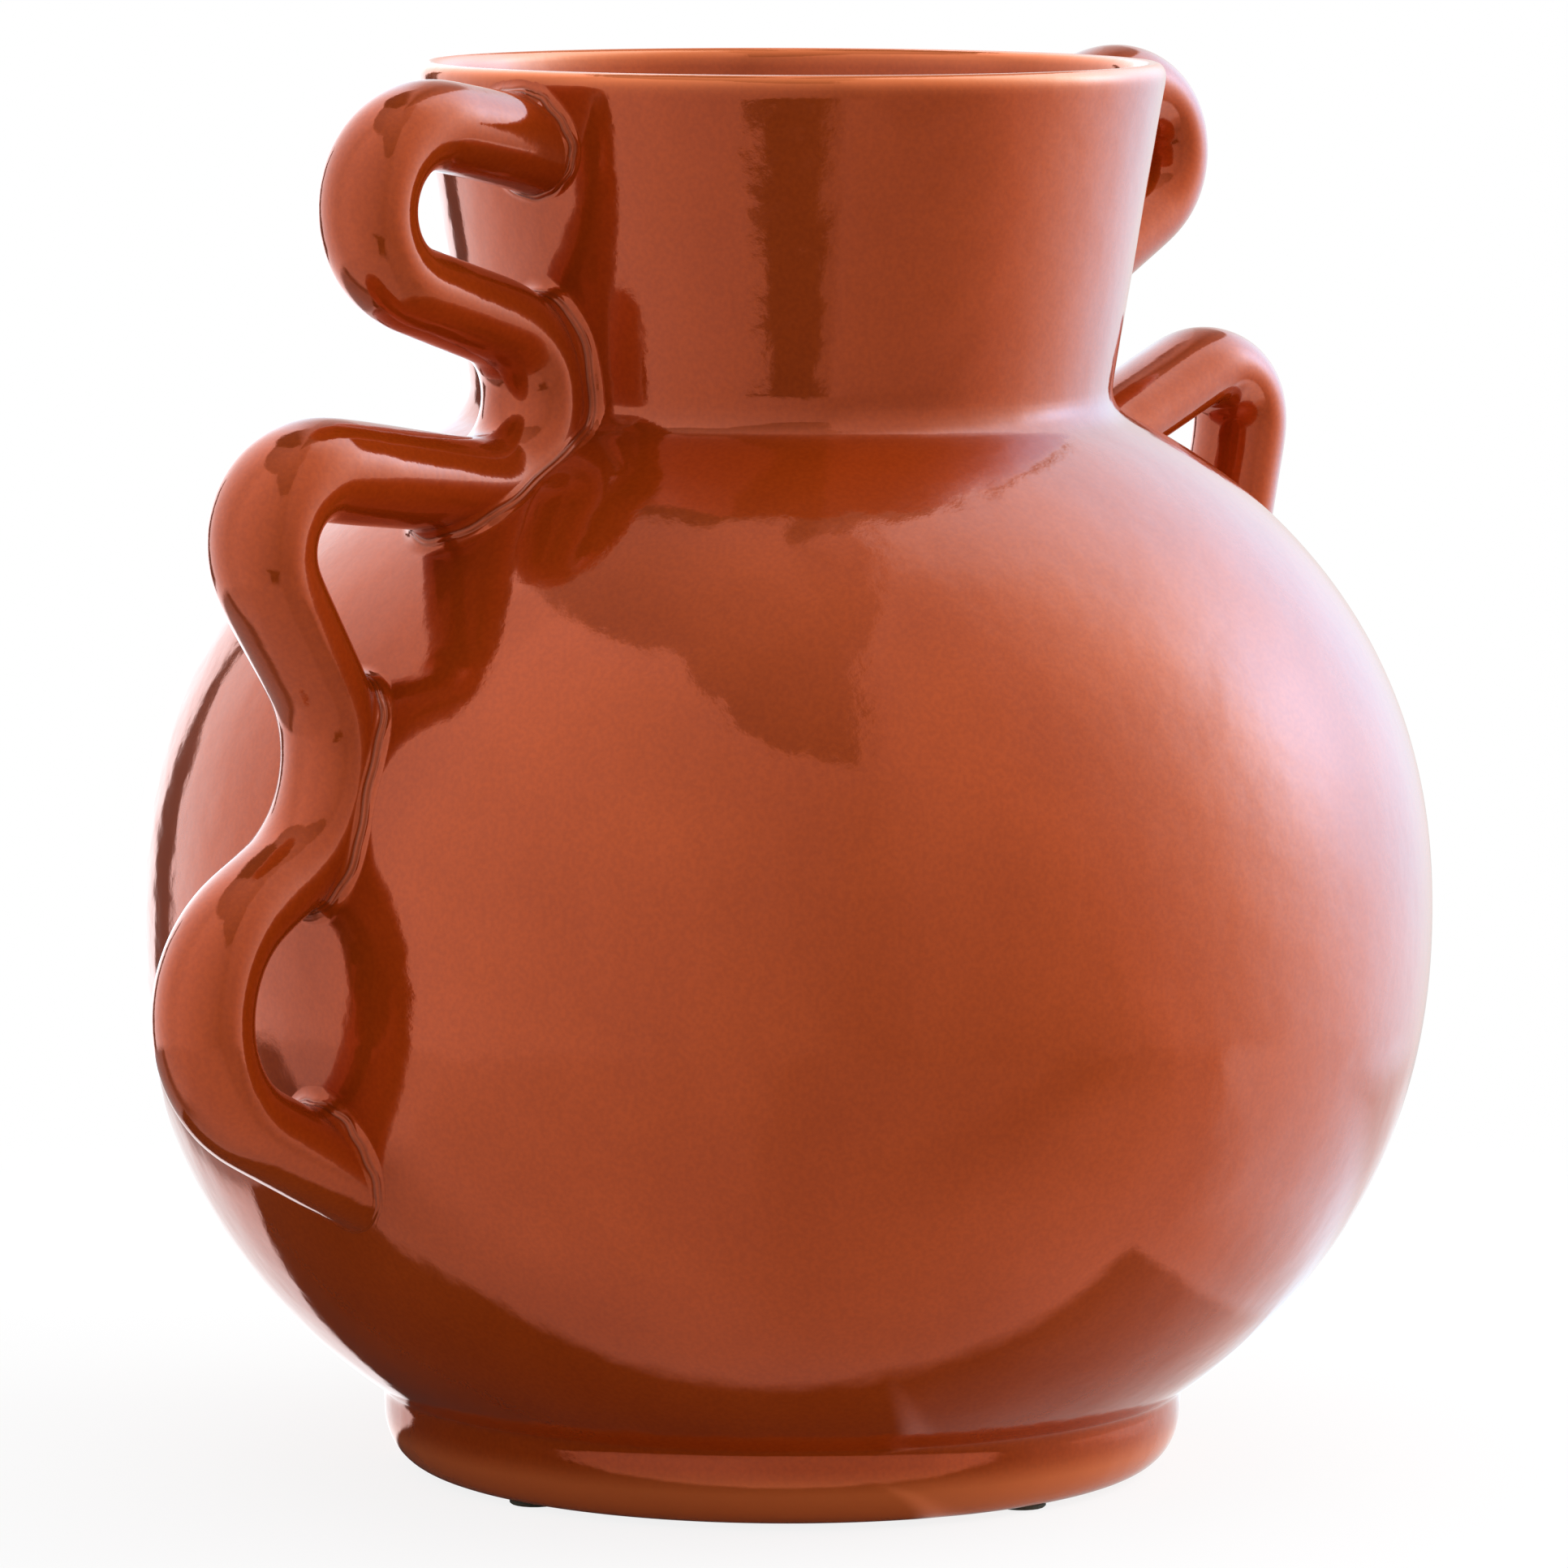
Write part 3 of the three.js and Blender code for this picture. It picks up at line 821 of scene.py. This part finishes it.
def glaze_material():
    """Glossy terracotta glaze with a coppery sheen: mottled and speckled, darker where it pools, lighter at
    the lip's edge where it breaks, with a painted highlight there and a painted reflection on the foot's
    lower edge, and with a slow ripple under a fine orange peel."""
    material, tree = nodes_of("terracotta_glaze")
    link = tree.links.new
    out = add_node(tree, "ShaderNodeOutputMaterial")
    shader = add_node(tree, "ShaderNodeBsdfPrincipled", Metallic=GLAZE_LUSTRE, IOR=GLAZE_IOR)
    link(shader.outputs[0], out.inputs[0])
    place = add_node(tree, "ShaderNodeTexCoord").outputs["Object"]
    mottle = noise(tree, place, MOTTLE_SCALE, 3.0)
    speckle = noise(tree, place, SPECKLE_SCALE, 2.0)
    ripple = noise(tree, place, RIPPLE_SCALE, 2.5, 0.45)
    shades = shaded(tree, mottle, *MOTTLE_RANGE, GLAZE_DARK, GLAZE_LIGHT)
    grain = shaded(tree, speckle, *SPECKLE_RANGE, GLAZE_SPECKLE, (1.0, 1.0, 1.0))
    colour = blended(tree, 1.0, shades, grain, "RGBA", "MULTIPLY")
    colour = turned_where(tree, "pool", POOLED_STRENGTH, colour, GLAZE_POOLED)
    # Lighter where the glaze breaks at the lip, with a painted highlight there, and a painted reflection on
    # the foot's lower edge.
    colour = turned_where(tree, "thin_and_painted_sheen", 1.0, colour, GLAZE_THIN_AND_PAINTED_SHEEN)
    link(colour, shader.inputs["Base Color"])
    gloss = ranged(tree, mottle, 0.0, 1.0, *GLAZE_ROUGHNESS, "LINEAR")
    link(gloss, shader.inputs["Roughness"])
    wave = relief(tree, ripple, RIPPLE_STRENGTH, RIPPLE_DISTANCE)
    peel = relief(tree, speckle, PEEL_STRENGTH, PEEL_DISTANCE)
    link(wave.outputs["Normal"], peel.inputs["Normal"])
    link(peel.outputs["Normal"], shader.inputs["Normal"])
    return material


def pad_material():
    """Soft dark pad, slightly grainy."""
    material, tree = nodes_of("pad_rubber")
    link = tree.links.new
    out = add_node(tree, "ShaderNodeOutputMaterial")
    shader = add_node(tree, "ShaderNodeBsdfPrincipled", Roughness=RUBBER_ROUGHNESS)
    link(shader.outputs[0], out.inputs[0])
    place = add_node(tree, "ShaderNodeTexCoord").outputs["Object"]
    grain = noise(tree, place, RUBBER_SCALE, 3.0)
    link(shaded(tree, grain, 0.0, 1.0, RUBBER_DARK, RUBBER_LIGHT), shader.inputs["Base Color"])
    bump = relief(tree, grain, RUBBER_STRENGTH, RUBBER_DISTANCE)
    link(bump.outputs["Normal"], shader.inputs["Normal"])
    return material


def set_camera():
    """The camera, aimed at the vase's axis."""
    data = bpy.data.cameras.new("camera")
    data.lens = CAMERA_LENS
    data.sensor_width = CAMERA_SENSOR
    camera = bpy.data.objects.new("camera", data)
    bpy.context.collection.objects.link(camera)
    target = Vector((0, 0, CAMERA_TARGET))
    elevation = math.radians(CAMERA_ELEVATION)
    back = -away * math.cos(elevation) + Vector((0, 0, math.sin(elevation)))
    camera.location = target + back * CAMERA_DISTANCE
    camera.rotation_euler = (-back).to_track_quat("-Z", "Y").to_euler()
    camera.rotation_euler.rotate_axis("Z", CAMERA_ROLL)
    bpy.context.scene.camera = camera


def set_world():
    """White to the camera, the panels of a studio to the glaze, and an even light to everything else."""
    world = bpy.data.worlds.new("studio")
    bpy.context.scene.world = world
    world.use_nodes = True
    tree = world.node_tree
    tree.nodes.clear()
    out = add_node(tree, "ShaderNodeOutputWorld")
    background = add_node(tree, "ShaderNodeBackground")
    direction = add_node(tree, "ShaderNodeTexCoord").outputs["Generated"]
    right = dot(tree, direction, rightward)
    front = dot(tree, direction, -away)
    up = dot(tree, direction, (0, 0, 1))
    turn = maths(tree, "DEGREES", maths(tree, "ARCTAN2", right, front))
    lift = maths(tree, "DEGREES", maths(tree, "ARCSINE", up))
    place = map_place(tree, turn, lift)
    level = painted(tree, place, STUDIO_DARK, STUDIO_PANELS)
    for centre, reach, peak in STUDIO_WINDOW:
        level = maths(tree, "ADD", level, glow(tree, place, centre, reach, peak))
    level = painted(tree, place, level, STUDIO_SHADES)
    soft = maths(tree, "ADD", maths(tree, "MULTIPLY", up, AMBIENT_FROM_ABOVE), AMBIENT)
    soft = maths(tree, "ADD", maths(tree, "MULTIPLY", right, AMBIENT_FROM_RIGHT), soft)
    path = add_node(tree, "ShaderNodeLightPath")
    level = blended(tree, path.outputs["Is Glossy Ray"], soft, level)
    level = blended(tree, path.outputs["Is Camera Ray"], level, 1.0)
    tree.links.new(cooled(tree, level, right), background.inputs["Color"])
    tree.links.new(level, background.inputs["Strength"])
    tree.links.new(background.outputs[0], out.inputs[0])


def add_key_lamp():
    """A large square lamp on the right, aimed at the vase and seen by neither the camera nor the glaze."""
    data = bpy.data.lights.new("softbox_right", "AREA")
    data.size = KEY_SIZE
    data.energy = KEY_POWER
    lamp = bpy.data.objects.new("softbox_right", data)
    bpy.context.collection.objects.link(lamp)
    turn = math.radians(KEY_AZIMUTH)
    lift = math.radians(KEY_ELEVATION)
    direction = (rightward * math.sin(turn) - away * math.cos(turn)) * math.cos(lift)
    direction = direction + Vector((0, 0, math.sin(lift)))
    lamp.location = Vector((0, 0, CAMERA_TARGET)) + direction * KEY_DISTANCE
    lamp.rotation_euler = direction.to_track_quat("Z", "Y").to_euler()
    lamp.visible_camera = False
    lamp.visible_glossy = False


def add_floor():
    """A white disc of floor that keeps a faint shadow and fades into the white around it."""
    bpy.ops.mesh.primitive_circle_add(vertices=FLOOR_SIDES, radius=FLOOR_RADIUS, fill_type="NGON")
    floor = bpy.context.object
    floor.name = "studio_floor"
    material, tree = nodes_of("studio_white")
    link = tree.links.new
    out = add_node(tree, "ShaderNodeOutputMaterial")
    matt = add_node(tree, "ShaderNodeBsdfDiffuse", Color=(*FLOOR_COLOUR, 1))
    shine = add_node(tree, "ShaderNodeEmission")
    clear = add_node(tree, "ShaderNodeBsdfTransparent")
    path = add_node(tree, "ShaderNodeLightPath")
    spot = add_node(tree, "ShaderNodeTexCoord").outputs["Object"]
    across = dot(tree, spot, rightward / MM)
    beyond = dot(tree, spot, away / MM)
    # To the glaze the floor shows painted light and painted shadows, among them the shadows of the vase and
    # a handle.
    level = painted(tree, map_place(tree, across, beyond), FLOOR_LEVEL, FLOOR_PAINTED_LIGHT_AND_SHADOW)
    level = blended(tree, path.outputs["Is Camera Ray"], level, 1.0)
    link(level, shine.inputs["Strength"])
    link(cooled(tree, level, maths(tree, "DIVIDE", across, FLOOR_SIDE_REACH)), shine.inputs["Color"])
    length = add_node(tree, "ShaderNodeVectorMath", operation="LENGTH")
    link(spot, length.inputs[0])
    out_share = maths(tree, "DIVIDE", length.outputs["Value"], FLOOR_RADIUS)
    white = ranged(tree, out_share, *FLOOR_WHITENING, start=FLOOR_WHITENESS)
    share = maths(tree, "MULTIPLY", path.outputs["Is Camera Ray"], white)
    share = maths(tree, "MAXIMUM", share, path.outputs["Is Glossy Ray"])
    surface = blended_shader(tree, share, matt.outputs[0], shine.outputs[0])
    cleared = ranged(tree, out_share, *FLOOR_CLEARING)
    link(blended_shader(tree, cleared, surface, clear.outputs[0]), out.inputs[0])
    floor.data.materials.append(material)


bpy.context.scene.view_settings.view_transform = "Standard"
set_camera()
set_world()
add_floor()
add_key_lamp()

glaze = glaze_material()
make_body(glaze)
for side, handle in HANDLES.items():
    middle_line = coil_line(handle["bends"])
    make_handle(side, handle, middle_line, glaze)
    paths = slip_paths(handle, middle_line)
    for place, path in zip(SLIP_PLACES, paths, strict=True):
        make_slip(side, place, path, glaze)
rubber = pad_material()
for number in range(1, PAD_COUNT + 1):
    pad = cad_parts[f"foot_pad_{number}"]
    for slot_of_pad in pad.material_slots:
        slot_of_pad.material = rubber
